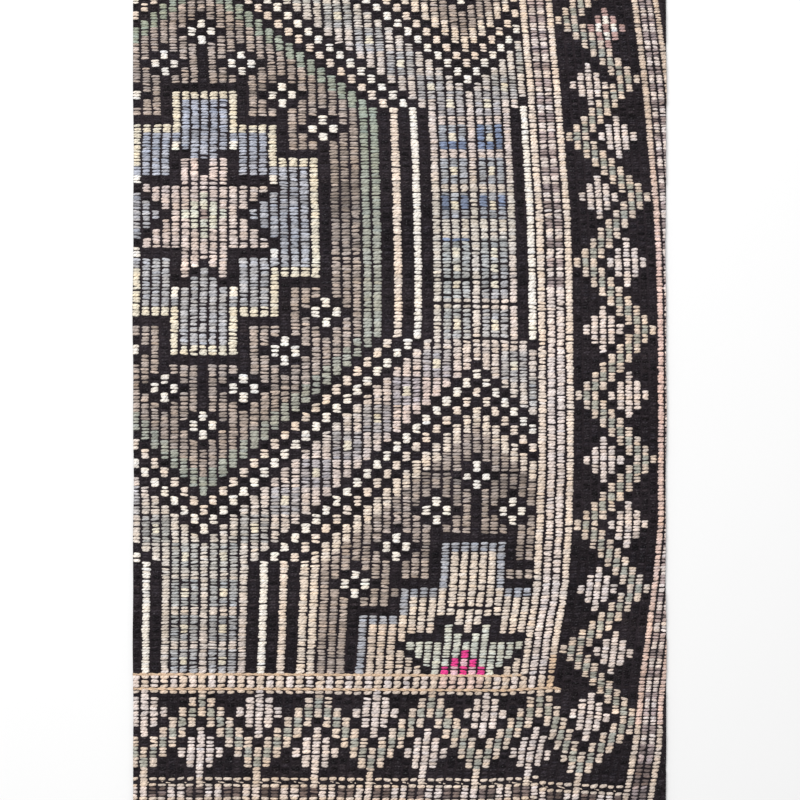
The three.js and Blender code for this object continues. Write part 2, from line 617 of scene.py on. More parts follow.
    def paint_inner_guard(self) -> None:
        """Four cords beside the field: peach, two barber cords, peach."""
        above = self.rows <= self.field_last_row + 1
        self.paint(above & np.isin(self.cords, (34, 37)), Yarn.PEACH)
        for row, yarn in ((47, Yarn.SAND), (48, Yarn.TAN)):
            self.paint(above & (self.cords == 37) & (self.rows >= row), yarn)
        barber = above & np.isin(self.cords, (35, 36))
        self.paint(barber, Yarn.BLUSH)
        self.paint(barber & (self.rows <= 7) & (self.rows % 2 == 1), Yarn.MAUVE)

    def diamond(self, cord: int, row: int) -> Array:
        """Mask of a diamond that reaches two blocks from its middle."""
        return np.abs(self.cords - cord) + np.abs(self.rows - row) <= 2

    def paint_side_border(self) -> None:
        """Zigzag with sage between cream, and pinkish white diamonds in its bays.

        The zigzag turns every seven rows, but its last reach to the right takes eight.
        """
        rows = self.rows
        place = self.cords - SIDE_FIRST_CORD
        low = rows > 50
        inside = (place >= 0) & (place <= 9) & (rows <= 61)
        turn = (rows - 5) % 14
        last_turn = 47
        last_reach = np.minimum(rows - last_turn, last_turn + 16 - rows)
        from_left = np.where(rows > last_turn, last_reach, np.minimum(turn, 14 - turn))
        from_right = 7 - from_left
        tips = ((place == 0) & (from_left == 0)) | ((place == 9) & (from_right == 0) & ~low)
        gap = np.abs(from_left - (place - 1))
        along = inside & (place >= 1) & (place <= np.where(low, 9, 8))
        self.paint((inside & tips) | (along & (gap <= 1)), Yarn.SAND)
        self.paint(along & (gap == 0), Yarn.SAGE)
        left_bay = (np.abs(place - 6) + from_left <= 2) & (from_left <= 2)
        right_bay = (np.abs(place - 3) + from_right <= 2) & (from_right <= 2)
        self.paint(inside & (left_bay | right_bay) & ~low & (rows > -21), Yarn.BLUSH)
        self.paint(self.diamond(42, 55), Yarn.BLUSH)
        self.paint(self.diamond(44, -22), Yarn.DUSTY)
        odd = (rows + np.abs(self.cords - 44)) % 2 == 1
        self.paint(self.diamond(44, -22) & odd, Yarn.WHITE)

    def paint_outer_guard(self) -> None:
        """Four cords beyond the side border: pink, two barber cords, pink."""
        rows = self.rows
        edge = np.isin(self.cords, (48, 51))
        barber = np.isin(self.cords, (49, 50))
        deep = (rows % 2 == np.where(rows < 50, 1, 0)) & (rows != 50)
        self.paint(edge, Yarn.ROSE)
        self.paint(barber, Yarn.BLUSH)
        self.paint(barber & (deep | (rows >= 59)), Yarn.MAUVE)
        self.paint(barber & np.isin(rows, (60, 61)), Yarn.BROWN)
        self.paint(edge & (rows >= 56), Yarn.SAND)

    def paint_lower_border(self) -> None:
        """Row of cream and pink blocks, then the zigzag with diamonds above and below it."""
        cords = self.cords
        top = (cords <= 37) & (self.rows == 50)
        self.paint(top, Yarn.SAND)
        self.paint(top & (cords % 2 == 1), Yarn.BLUSH)
        self.paint(top & (cords >= 25) & (cords <= 29), Yarn.ROSE)
        self.paint(top & (cords == 37), Yarn.TAN)
        depth = self.rows - 51 - CORNER_ROWS * (cords >= SIDE_FIRST_CORD)
        inside = (cords <= 42) & (depth >= 0) & (depth <= 8)
        peak = np.abs((cords + 6) % 12 - 6)
        above = np.abs(depth - 2) + 6 - peak <= 2
        below = np.abs(depth - 6) + peak <= 2
        self.paint(inside, Yarn.DARK)
        self.paint(inside & (depth >= peak) & (depth <= peak + 2), Yarn.SAND)
        self.paint(inside & (depth == peak + 1), Yarn.SAGE)
        self.paint(inside & (above | below), Yarn.BLUSH)

    def pick_row(self, index: Array) -> Array:
        """Row coordinate of picks counted from the top of the chart."""
        return self.first_row + (np.asarray(index) - 1) / PICKS_PER_ROW

    def pick_index(self, row: float) -> int:
        """Nearest pick to a row coordinate."""
        return int(round((row - self.first_row) * PICKS_PER_ROW)) + 1

    def paint_pick(self, row: float, chosen: Array, yarn: Yarn) -> None:
        """Gives one pick of the chosen cords one yarn, its row counted left of the side border."""
        lower = CORNER_ROWS * PICKS_PER_ROW * (self.cords[0] >= SIDE_FIRST_CORD)
        self.picks[(self.pick_index(row) + lower)[chosen], np.flatnonzero(chosen)] = yarn

    def paint_single_picks(self) -> None:
        """Lines one pick tall: dashes round the lower border and the guard below it."""
        cords = self.cords[0]
        lower = cords <= SIDE_LAST_CORD
        dark = (self.picks[self.pick_index(51)] == Yarn.DARK) & (cords < SIDE_FIRST_CORD)
        self.paint_pick(51, dark | (cords == SIDE_FIRST_CORD), Yarn.SAND)
        self.paint_pick(59.67, lower, Yarn.SAND)
        for step in range((self.last_row - 60 - CORNER_ROWS) * PICKS_PER_ROW):
            self.paint_pick(60 + step / PICKS_PER_ROW, lower, Yarn.DARK)
        self.paint_pick(60, lower & (cords % 6 == 0), Yarn.SAND)
        for row in (60.33, 61.67):
            self.paint_pick(row, lower, Yarn.SAND)
        for row in (60.67, 61.0, 61.33):
            self.paint_pick(row, lower, Yarn.BROWN)
            self.paint_pick(row, lower & np.isin(cords % 4, (1, 2)), Yarn.BLUSH)
        for row in (5.33, 5.67):
            self.paint_pick(row, np.isin(cords, (25, 29)), Yarn.CREAM)

    def paint_irregular_picks(self) -> None:
        """Picks of deeper blue, and missed picks, which their neighbours close in on."""
        cords = self.cords[0]
        for first_row, last_row, chosen in self.BLUE_PICKS:
            for step in range(int(round((last_row - first_row) * PICKS_PER_ROW)) + 1):
                blue = np.isin(cords, chosen)
                self.paint_pick(first_row + step / PICKS_PER_ROW, blue, Yarn.BLUE)
        for row, first, final in self.MISSED_PICKS:
            missed = (cords >= first) & (cords <= final)
            self.paint_pick(row, missed, Yarn.DARK)
            self.pull[self.pick_index(row) - 1, missed] = -self.CLOSING
            self.pull[self.pick_index(row) + 1, missed] = self.CLOSING

    def lower_upper_bay(self) -> None:
        """Sets the diamond in the side border's upper left bay two picks lower."""
        rows = slice(self.pick_index(-18.33), self.pick_index(-11))
        columns = slice(39 - self.first_cord, 44 - self.first_cord)
        bay = self.picks[rows, columns]
        diamond = bay == Yarn.BLUSH
        bay[diamond] = Yarn.DARK
        bay[np.roll(diamond, self.BAY_DROP, axis=0) & (bay == Yarn.DARK)] = Yarn.BLUSH


def place_object(name: str, data: bpy.types.ID) -> Piece:
    """Puts new data into the scene as an object at the origin."""
    piece = bpy.data.objects.new(name, data)
    bpy.context.scene.collection.objects.link(piece)
    return piece


def make_mesh(
    name: str,
    points: Array,
    quads: Array,
    triangles: Array | None = None,
) -> Piece:
    """Puts whole arrays of points and faces into a new smooth-shaded piece.

    Args:
        name: name of the piece.
        points: corners, one row of three numbers each.
        quads: faces of four corners, counted anticlockwise from outside.
        triangles: faces of three corners, or None.

    Returns:
        The new object, at the origin and linked to the scene.
    """
    threes = np.zeros((0, 3), dtype=np.int32) if triangles is None else triangles
    corners = np.concatenate([quads.ravel(), threes.ravel()]).astype(np.int32)
    sizes = np.concatenate([np.full(len(quads), 4), np.full(len(threes), 3)])
    starts = np.concatenate([[0], np.cumsum(sizes)[:-1]]).astype(np.int32)
    mesh = bpy.data.meshes.new(name)
    mesh.vertices.add(len(points))
    mesh.vertices.foreach_set("co", points.astype(np.float32).ravel())
    mesh.loops.add(len(corners))
    mesh.loops.foreach_set("vertex_index", corners)
    mesh.polygons.add(len(sizes))
    mesh.polygons.foreach_set("loop_start", starts)
    mesh.polygons.foreach_set("use_smooth", np.ones(len(sizes), dtype=bool))
    mesh.update(calc_edges=True)
    return place_object(name, mesh)


def set_colours(piece: Piece, colours: Array) -> None:
    """Writes one linear colour, a row of red, green and blue, for each point of a piece."""
    layer = piece.data.color_attributes.new(
        name=COLOUR_LAYER, type="FLOAT_COLOR", domain="POINT"
    )
    full = np.ones((len(colours), 4), dtype=np.float32)
    full[:, :3] = np.clip(colours, 0, 1)
    layer.data.foreach_set("color", full.ravel())


def set_turns(piece: Piece, turns: Array) -> None:
    """Writes the turn of the plies at each point of a piece."""
    layer = piece.data.attributes.new(name=TURN_LAYER, type="FLOAT", domain="POINT")
    layer.data.foreach_set("value", turns.astype(np.float32))


def tube_faces(count: int, rings: int, sides: int) -> Pair:
    """Faces of many closed tubes, each with a pole at both ends.

    Points run pole, ring by ring, pole. Each ring is joined to the next by quads, and the first
    and last ring to their poles by triangles.

    Args:
        count: number of tubes.
        rings: rings in a tube.
        sides: corners in a ring.

    Returns:
        The quads and the triangles.
    """
    ring, side = np.meshgrid(np.arange(rings - 1), np.arange(sides), indexing="ij")
    following = (side + 1) % sides
    start = 1 + ring * sides
    quads = np.stack(
        [start + side, start + following, start + sides + following, start + sides + side], axis=-1
    ).reshape(-1, 4)
    turn = np.arange(sides)
    after = (turn + 1) % sides
    last = 1 + (rings - 1) * sides
    pole = 1 + rings * sides
    near = np.stack([np.zeros(sides, dtype=int), 1 + after, 1 + turn], axis=-1)
    far = np.stack([np.full(sides, pole), last + turn, last + after], axis=-1)
    caps = np.concatenate([near, far])
    shift = np.arange(count)[:, None, None] * (pole + 1)
    return (quads + shift).reshape(-1, 4), (caps + shift).reshape(-1, 3)


@dataclass(frozen=True)
class WoolFinish:
    """How strongly each unevenness of the wool shows in one finish.

    Attributes:
        name: name of the material.
        blotch: strength of the blotches in the colour.
        streak: strength of the fibre streaks in the colour.
        furrow_shade: painted shade in the groove between the two plies, as how much darker its
            colour is made.
        lint: brightness of the pale specks of fluff.
        depth: depth of the bump, in metres.
        sheen: weight of the soft sheen.
    """

    name: str
    blotch: float
    streak: float
    furrow_shade: float
    lint: float
    depth: float
    sheen: float


# The third number of each finish is the painted shade that darkens the colour in the ply furrows.
GROUND_WOOL = WoolFinish("ground_wool", 0.5, 1.2, 0.0, 0.03, 0.3 * MM, 0.0)
DARK_WOOL = WoolFinish("dark_wool", 0.7, 1.8, 0.5, 0.08, 0.4 * MM, 0.0)
PATTERN_WOOL = WoolFinish("pattern_wool", 0.35, 0.8, 0.4, 0.0, 0.35 * MM, 0.1)
LINE_WOOL = WoolFinish("line_wool", 0.3, 0.8, 0.5, 0.0, 0.3 * MM, 0.1)


def set_inputs(tree: Tree, node: Node, inputs: dict) -> Node:
    """Gives a node's inputs, by name or number, their values or links, and hands the node back."""
    for name, value in inputs.items():
        if isinstance(value, Socket):
            tree.links.new(value, node.inputs[name])
        else:
            node.inputs[name].default_value = value
    return node


def add_node(tree: Tree, kind: str, inputs: dict | None = None, **settings: object) -> Node:
    """Adds a node to a tree.

    Args:
        tree: the tree.
        kind: type of the node.
        inputs: value or linked socket of each input that isn't left as it is.
        settings: the node's own settings, by name.

    Returns:
        The new node.
    """
    made = tree.nodes.new(kind)
    for name, value in settings.items():
        setattr(made, name, value)
    return set_inputs(tree, made, inputs or {})


class WoolShaders:
    """The node group and the materials that every wool piece shares."""

    STREAK_TURN = 0.32
    STREAK_SCALE = (1.0, 2.6, 2.0)
    SHEEN_ROUGHNESS = 0.6
    SPECULAR = 0.12

    def __init__(self) -> None:
        """Builds the group once."""
        self.group = self.build_group()
        self.made: dict[str, bpy.types.Material] = {}

    def build_group(self) -> Tree:
        """Heathered two-ply wool: blotches, fibre streaks, painted shade in the ply furrows, fluff
        and a height.

        The streaks are noise drawn out along the yarn and turned by the yarn's twist. The groove
        between the two plies lies where the sine of the ply's turn is near zero, and its colour is
        darkened there as painted shade. The colour is the given one times one plus both
        unevennesses, less that painted shade, plus the fluff.

        Returns:
            The node group.
        """
        tree = bpy.data.node_groups.new("wool_fibres", "ShaderNodeTree")
        face = tree.interface
        face.new_socket("Colour", in_out="INPUT", socket_type="NodeSocketColor")
        for name in ("Ply", "Blotch", "Streak", "Furrow Shade", "Lint"):
            face.new_socket(name, in_out="INPUT", socket_type="NodeSocketFloat")
        face.new_socket("Colour", in_out="OUTPUT", socket_type="NodeSocketColor")
        for name in ("Roughness", "Height"):
            face.new_socket(name, in_out="OUTPUT", socket_type="NodeSocketFloat")
        taken = add_node(tree, "NodeGroupInput").outputs
        place = add_node(tree, "ShaderNodeTexCoord").outputs["Object"]
        lay = {"Vector": place, "Rotation": (0, 0, self.STREAK_TURN), "Scale": self.STREAK_SCALE}
        along = add_node(tree, "ShaderNodeMapping", lay).outputs["Vector"]
        fibres = self.noise(tree, along, 720.0, 3.0, 0.65)
        patches = self.noise(tree, place, 300.0, 2.0, 0.5)
        fluff = self.noise(tree, place, 1150.0, 1.0, 0.5)

        # Painted shade: the colour is made darker in the groove between the two plies.
        turn = self.math(tree, "MULTIPLY", taken["Ply"], 2 * np.pi)
        wave = self.math(tree, "ABSOLUTE", self.math(tree, "SINE", turn))
        furrow_shade = self.ramp(tree, wave, (0.0, 0.5), (1.0, 0.0))
        lint = self.ramp(tree, fluff, (0.6, 0.8), (0.0, 1.0))
        streaks = self.centred(tree, fibres, taken["Streak"])
        blotches = self.centred(tree, patches, taken["Blotch"])
        gain = self.math(tree, "ADD", self.math(tree, "ADD", streaks, blotches), 1.0)
        shade = self.math(tree, "MULTIPLY", furrow_shade, taken["Furrow Shade"])
        gain = self.math(tree, "SUBTRACT", gain, shade)
        scaled = {0: taken["Colour"], "Scale": gain}
        tint = add_node(tree, "ShaderNodeVectorMath", scaled, operation="SCALE")
        summed = {0: tint.outputs["Vector"], 1: self.math(tree, "MULTIPLY", lint, taken["Lint"])}
        specks = add_node(tree, "ShaderNodeVectorMath", summed, operation="ADD")
        plump = self.math(tree, "MULTIPLY", self.math(tree, "POWER", wave, 0.6), 0.7)
        add_node(tree, "NodeGroupOutput", {
            "Colour": specks.outputs["Vector"],
            "Roughness": self.ramp(tree, fibres, (0.0, 1.0), (0.82, 1.0)),
            "Height": self.math(tree, "ADD", plump, fibres),
        })
        return tree

    @staticmethod
    def noise(tree: Tree, place: Socket, scale: float, detail: float, roughness: float) -> Socket:
        """A noise texture's value at a place, with its scale, detail and roughness."""
        inputs = {"Vector": place, "Scale": scale, "Detail": detail, "Roughness": roughness}
        return add_node(tree, "ShaderNodeTexNoise", inputs).outputs["Fac"]

    @staticmethod
    def math(tree: Tree, operation: str, *values: Socket | float) -> Socket:
        """One step of arithmetic on one or two values."""
        inputs = dict(enumerate(values))
        return add_node(tree, "ShaderNodeMath", inputs, operation=operation).outputs[0]

    @staticmethod
    def ramp(
        tree: Tree, value: Socket, taken: tuple[float, float], given: tuple[float, float]
    ) -> Socket:
        """A value's range carried over to another, held at its ends."""
        names = ("Value", "From Min", "From Max", "To Min", "To Max")
        inputs = dict(zip(names, (value, *taken, *given)))
        return add_node(tree, "ShaderNodeMapRange", inputs).outputs["Result"]

    @classmethod
    def centred(cls, tree: Tree, value: Socket, strength: Socket) -> Socket:
        """A noise value less one half, times twice a strength."""
        doubled = cls.math(tree, "MULTIPLY", value, 2.0)
        return cls.math(tree, "MULTIPLY", cls.math(tree, "SUBTRACT", doubled, 1.0), strength)

    def material(self, finish: WoolFinish) -> bpy.types.Material:
        """A wool finish that takes its colour and ply from the piece's own attributes.

        Args:
            finish: the strengths of its unevennesses.

        Returns:
            The material, made once for each finish.
        """
        if finish.name in self.made:
            return self.made[finish.name]
        made = bpy.data.materials.new(finish.name)
        made.use_nodes = True
        tree = made.node_tree
        dye = add_node(tree, "ShaderNodeAttribute", attribute_name=COLOUR_LAYER)
        ply = add_node(tree, "ShaderNodeAttribute", attribute_name=TURN_LAYER)
        inputs = {
            "Colour": dye.outputs["Color"],
            "Ply": ply.outputs["Fac"],
            "Blotch": finish.blotch,
            "Streak": finish.streak,
            # Strength of the painted shade in the ply furrows.
            "Furrow Shade": finish.furrow_shade,
            "Lint": finish.lint,
        }
        fibres = add_node(tree, "ShaderNodeGroup", inputs, node_tree=self.group).outputs
        relief = {"Strength": 1.0, "Distance": finish.depth, "Height": fibres["Height"]}
        set_inputs(tree, tree.nodes["Principled BSDF"], {
            "Sheen Weight": finish.sheen,
            "Sheen Roughness": self.SHEEN_ROUGHNESS,
            "Specular IOR Level": self.SPECULAR,
            "Base Color": fibres["Colour"],
            "Roughness": fibres["Roughness"],
            "Normal": add_node(tree, "ShaderNodeBump", relief).outputs["Normal"],
        })
        self.made[finish.name] = made
        return made


@dataclass
class GroundCloth:
    """The dark ground cloth: ribbed above, flat below, closed round its cut edges."""

    shaders: WoolShaders
    columns_per_cord: int = 5
    lines: int = 96
    rib_height: float = 2.1 * MM
    groove_height: float = 1.6 * MM

    def height(self, cord: Array, y: Array) -> Array:
        """Upper surface: a rib over each cord by a raised cosine, plus the slow swell."""
        rib = 0.5 + 0.5 * np.cos(2 * np.pi * cord)
        rise = self.groove_height + (self.rib_height - self.groove_height) * rib**0.6
        return rise + CLOTH.crown_swell(cord, y)

    def build(self) -> Piece:
        """Makes the closed sheet on a grid from cut edge to cut edge.

        Across, the grid runs evenly from the left to the right edge of the cut, and along it
        evenly from the lower to the upper edge. The under face repeats the grid at height zero.

        Returns:
            The ground cloth's object.
        """
        columns = int(CLOTH.width / CORD_PITCH * self.columns_per_cord)
        s = np.linspace(0, 1, columns + 1)[None, :]
        t = np.linspace(0, 1, self.lines + 1)[:, None]
        rough_x = (s - 0.5) * CLOTH.width + 0 * t
        lower, upper = CLOTH.end_edges(rough_x)
        y = lower + (upper - lower) * t
        left, right = CLOTH.side_edges(y)
        x = left + (right - left) * s
        cord = self.cord_at(x, y)
        z = self.height(cord, y)
        top = np.stack([x, y, z], axis=-1).reshape(-1, 3)
        bottom = np.stack([x, y, np.zeros_like(x)], axis=-1).reshape(-1, 3)
        points = np.concatenate([top, bottom])
        piece = make_mesh("rug_ground", points, self.faces(columns + 1, self.lines + 1))
        set_colours(piece, self.colours(cord, y))
        piece.data.materials.append(self.shaders.material(GROUND_WOOL))
        return piece

    @staticmethod
    def cord_at(x: Array, y: Array) -> Array:
        """Cord number at places on the cloth, by halving the span that holds it."""
        low = np.full(x.shape, float(SEARCH_CORDS[0]))
        high = np.full(x.shape, float(SEARCH_CORDS[1]))
        for _ in range(SEARCH_STEPS):
            middle = 0.5 * (low + high)
            before = CLOTH.cord_x(middle, y) < x
            low = np.where(before, middle, low)
            high = np.where(before, high, middle)
        return 0.5 * (low + high)

    @staticmethod
    def faces(columns: int, lines: int) -> Array:
        """Quads of the upper face, the under face and the four cut edges.

        Args:
            columns: points across.
            lines: points along.

        Returns:
            The quads, all facing outwards.
        """
        index = np.arange(columns * lines).reshape(lines, columns)
        corners = [index[:-1, :-1], index[:-1, 1:], index[1:, 1:], index[1:, :-1]]
        upper_face = np.stack(corners, axis=-1).reshape(-1, 4)
        under_face = upper_face[:, [0, 3, 2, 1]] + columns * lines
        rim = np.concatenate([index[0, :-1], index[:-1, -1], index[-1, :0:-1], index[:0:-1, 0]])
        below = rim + columns * lines
        walls = np.stack([below, np.roll(below, -1), np.roll(rim, -1), rim], axis=-1)
        return np.concatenate([upper_face, under_face, walls])

    @staticmethod
    def colours(cord: Array, y: Array) -> Array:
        """Dark tone of both faces, slightly browner in slow patches."""
        patch = SoftNoise(11, 5.0, 6.0)(cord, y / ROW_PITCH).reshape(-1, 1)
        dark = TONES[Yarn.DARK].linear()
        tint = dark * (0.8 + 0.25 * patch) * np.array([1.05, 1.0, 1.0])
        return np.concatenate([tint, tint])


@dataclass
class PatternYarns:
    """The floats: one short arched yarn over each cord at each pick."""

    shaders: WoolShaders
    chart: PatternChart
    seed: int = 7
    half_span: float = 0.43
    end_height: float = 1.55 * MM
    half_height: float = 0.78 * MM
    stations: tuple = (-1.0, -0.86, -0.45, 0.45, 0.86, 1.0)
    section_degrees: tuple = (-15, 38, 90, 142, 195, 270)
    ply_length: float = CORD_PITCH
    side_spare: float = 2.0 * MM
    end_margin: float = 0.2 * MM
    arch_power: float = 2.4
    taper_power: float = 2.8

    GROUPS = {
        "white_yarn": (Yarn.WHITE, Yarn.BLUSH),
        "cream_yarn": (Yarn.CREAM, Yarn.PEACH, Yarn.SAND, Yarn.TAN, Yarn.BEIGE),
        "pink_yarn": (Yarn.PINK, Yarn.ROSE, Yarn.DUSTY),
        "blue_yarn": (Yarn.BLUE_GREY, Yarn.BLUE, Yarn.GREY, Yarn.SLATE, Yarn.MIST),
        "taupe_yarn": (Yarn.TAUPE, Yarn.BROWN, Yarn.MAUVE),
        "green_yarn": (Yarn.SAGE, Yarn.FERN, Yarn.PALE_GREEN),
        "magenta_yarn": (Yarn.MAGENTA, Yarn.SHELL),
    }
    # Spread of each random wobble, then what slow noise adds to it, in shares of a pick, a cord
    # or the float's own size. The lift is in millimetres.
    SPREADS = {
        "shift": 0.09,
        "aside": 0.022,
        "tilt": 0.09,
        "bow": 0.06,
        "span": 0.07,
        "size": 0.11,
        "lift": 0.09,
    }
    SLOW_SHARES = {"shift": 0.17, "aside": 0.03, "tilt": 0.13, "size": 0.09}
    SPREAD_INTO_GAP = 1.7
    DARK_ZONES = {"dark_yarn_left": (-99, 16), "dark_yarn_right": (17, 99)}
    # Change of red, green and blue towards the upper end, then in slow patches. The patches of
    # darker taupe are given by cord, row, their reach in cords and rows, and the loss.
    ABRASH = {
        Yarn.BLUE_GREY: (-0.11, -0.06, 0.04),
        Yarn.FERN: (-0.08, -0.02, -0.06),
        Yarn.ROSE: (-0.09, -0.02, -0.09),
    }
    WARMER = (1.0, 0.1, -1.2)
    DARKER_PATCHES = ((14, -3, 3.0, 4.0, 0.32), (31, 29, 3.5, 4.0, 0.2), (26, 33, 6.0, 3.0, 0.15))
    DRIFT = {
        Yarn.GREY: (-0.01, 0.03, -0.06),
        Yarn.MIST: (-0.02, 0.03, -0.03),
        Yarn.PINK: (-0.04, 0.02, -0.01),
    }

    def place_floats(self) -> Floats:
        """Lists the floats inside the cut, with their seeded unevenness.

        Returns:
            Arrays with one value for each float: cord, row, yarn, the wobbles of its place and
            size, the phase of its plies, and the strays of its hue and tone.
        """
        count, width = self.chart.picks.shape
        index, column = np.meshgrid(np.arange(count), np.arange(width), indexing="ij")
        cord = (self.chart.first_cord + column).ravel().astype(float)
        row = self.chart.pick_row(index).ravel()
        y = CLOTH.row_y(row, cord)
        x = CLOTH.cord_x(cord, y)
        left, right = CLOTH.side_edges(y)
        lower, upper = CLOTH.end_edges(x)
        kept = (x > left - self.side_spare) & (x < right + self.side_spare)
        kept &= (y > lower + self.end_margin) & (y < upper - self.end_margin)
        rng = np.random.default_rng(self.seed)
        number = len(cord)
        pull = self.chart.pull.ravel()
        pick_noise = SoftNoise(self.seed + 1, 7.0, 0.34)
        sway = SoftNoise(self.seed + 4, 1.0, 1.7)
        tension = SoftNoise(self.seed + 6, 1.0, 1.3)
        floats = {name: rng.normal(0.0, wide, number) for name, wide in self.SPREADS.items()}
        slow = {
            "shift": pick_noise(cord, row),
            "aside": sway(cord, row),
            "tilt": pick_noise(cord + 50, row),
            "size": tension(cord, row),
        }
        for name, share in self.SLOW_SHARES.items():
            floats[name] += share * slow[name]
        floats["shift"] += pull
        floats["span"] += 1.0
        floats["size"] += 1.0 + self.SPREAD_INTO_GAP * np.abs(pull)
        floats["phase"] = rng.uniform(0.0, 1.0, number)
        for name in ("hue", "tone"):
            floats[name] = rng.normal(0.0, 1.0, number)
        floats |= {"cord": cord, "row": row, "yarn": self.chart.picks.ravel()}
        return {name: values[kept] for name, values in floats.items()}

    def tubes(self, floats: Floats) -> Array:
        """Points of the arched yarns.

        Along the float, u runs from -1 to 1. The place across is the cord plus its half span times
        u. The middle line falls from the crown to the groove with the size of u to the arch power.
        The section is an ellipse that narrows towards the ends, with most of its corners on top.

        Args:
            floats: arrays from place_floats.

        Returns:
            Points in an array of floats by points by three.
        """
        cord, row, yarns = floats["cord"], floats["row"], floats["yarn"]
        sizes = np.array([(TONES[yarn].fullness, TONES[yarn].crown) for yarn in Yarn])
        fullness, crown = sizes[yarns].T
        middle = CLOTH.row_y(row, cord)
        room = CLOTH.row_y(row - HALF_PICK, cord) - CLOTH.row_y(row + HALF_PICK, cord)
        u = np.array(self.stations)[None, :, None]
        taper = np.sqrt(np.clip(1 - np.abs(u) ** self.taper_power, 0, 1))
        angle = np.radians(self.section_degrees)[None, None, :]

        def spread(values: Array) -> Array:
            """One value for each float, ready to meet the stations and sides."""
            return np.asarray(values)[:, None, None]

        half = 0.5 * room * fullness * floats["size"]
        tall = self.half_height * np.sqrt(fullness) * floats["size"]
        y = spread(middle + floats["shift"] * room) + spread(floats["tilt"] * room) * u
        y = y + spread(floats["bow"] * room) * (1 - u**2) + spread(half) * taper * np.cos(angle)
        arch = 1 - np.abs(u) ** self.arch_power
        lift = spread(crown + CLOTH.crown_swell(cord, middle) + floats["lift"] * MM)
        z = self.end_height + (lift - self.end_height) * arch + spread(tall) * taper * np.sin(angle)
        across = spread(cord + floats["aside"]) + 0 * angle
        across = across + self.half_span * spread(floats["span"]) * u
        x = CLOTH.cord_x(across, y)
        return self.joined(np.stack([x, y, z], axis=-1))

    @staticmethod
    def joined(grid: Array) -> Array:
        """Values on stations and sides as one row for each float: pole, rings, pole."""
        rings = grid[:, 1:-1].reshape(len(grid), -1, grid.shape[-1])
        return np.concatenate([grid[:, 0, :1], rings, grid[:, -1, :1]], axis=1)

    def ply_turns(self, floats: Floats) -> Array:
        """Turn of the two plies at each point: length over ply length, plus angle, plus phase."""
        length = self.half_span * CORD_PITCH / self.ply_length
        u = np.array(self.stations)[None, :, None, None]
        angle = np.array(self.section_degrees)[None, None, :, None] / 360
        turns = length * u + angle + floats["phase"][:, None, None, None]
        return self.joined(turns).ravel()

    def float_colours(self, floats: Floats) -> Array:
        """Linear colour of each float: its dye, uneven from float to float and in slow bands."""
        cord, row, yarns = floats["cord"], floats["row"], floats["yarn"]
        base = np.stack([TONES[yarn].linear() for yarn in Yarn])[yarns]
        uneven = np.array([TONES[yarn].unevenness for yarn in Yarn])[yarns]
        bands = SoftNoise(self.seed + 2, 30.0, 1.6)(cord, row)
        gain = 1 + uneven * (0.7 * floats["tone"] + 0.9 * bands)
        for cord_at, row_at, cords, rows, loss in self.DARKER_PATCHES:
            away = ((cord - cord_at) / cords) ** 2 + ((row - row_at) / rows) ** 2
            gain = gain - loss * (yarns == Yarn.TAUPE) * np.exp(-away)
        warmth = 0.035 * SoftNoise(self.seed + 3, 9.0, 4.0)(cord, row) + 0.02 * floats["hue"]
        tint = 1 + warmth[:, None] * np.array(self.WARMER)
        height = np.clip(-row / 12, -0.4, 1) * (row < 25)
        drift = SoftNoise(self.seed + 5, 11.0, 9.0)(cord, row)
        for strength, changes in ((height, self.ABRASH), (drift, self.DRIFT)):
            for yarn, change in changes.items():
                dyed = strength * (yarns == yarn)
                tint = tint + dyed[:, None] * np.array(change)
        return base * np.clip(gain, 0.4, 1.6)[:, None] * tint

    def build(self) -> list[Piece]:
        """Makes one piece for each group of yarns, and two for the dark yarn."""
        floats = self.place_floats()
        groups = {name: np.isin(floats["yarn"], yarns) for name, yarns in self.GROUPS.items()}
        for name, (first, last) in self.DARK_ZONES.items():
            zone = (floats["cord"] >= first) & (floats["cord"] <= last)
            groups[name] = zone & (floats["yarn"] == Yarn.DARK)
        pieces = []
        for name, chosen in groups.items():
            part = {key: values[chosen] for key, values in floats.items()}
            points = CLOTH.trim(self.tubes(part))
            rings = len(self.stations) - 2
            quads, triangles = tube_faces(len(points), rings, len(self.section_degrees))
            piece = make_mesh(name, points.reshape(-1, 3), quads, triangles)
            set_colours(piece, np.repeat(self.float_colours(part), points.shape[1], axis=0))
            set_turns(piece, self.ply_turns(part))
            finish = DARK_WOOL if name in self.DARK_ZONES else PATTERN_WOOL
            piece.data.materials.append(self.shaders.material(finish))
            pieces.append(piece)
            count = 2 * len(quads) + len(triangles)
            log.info("%s: %d floats, %d triangles", name, len(points), count)
        return pieces


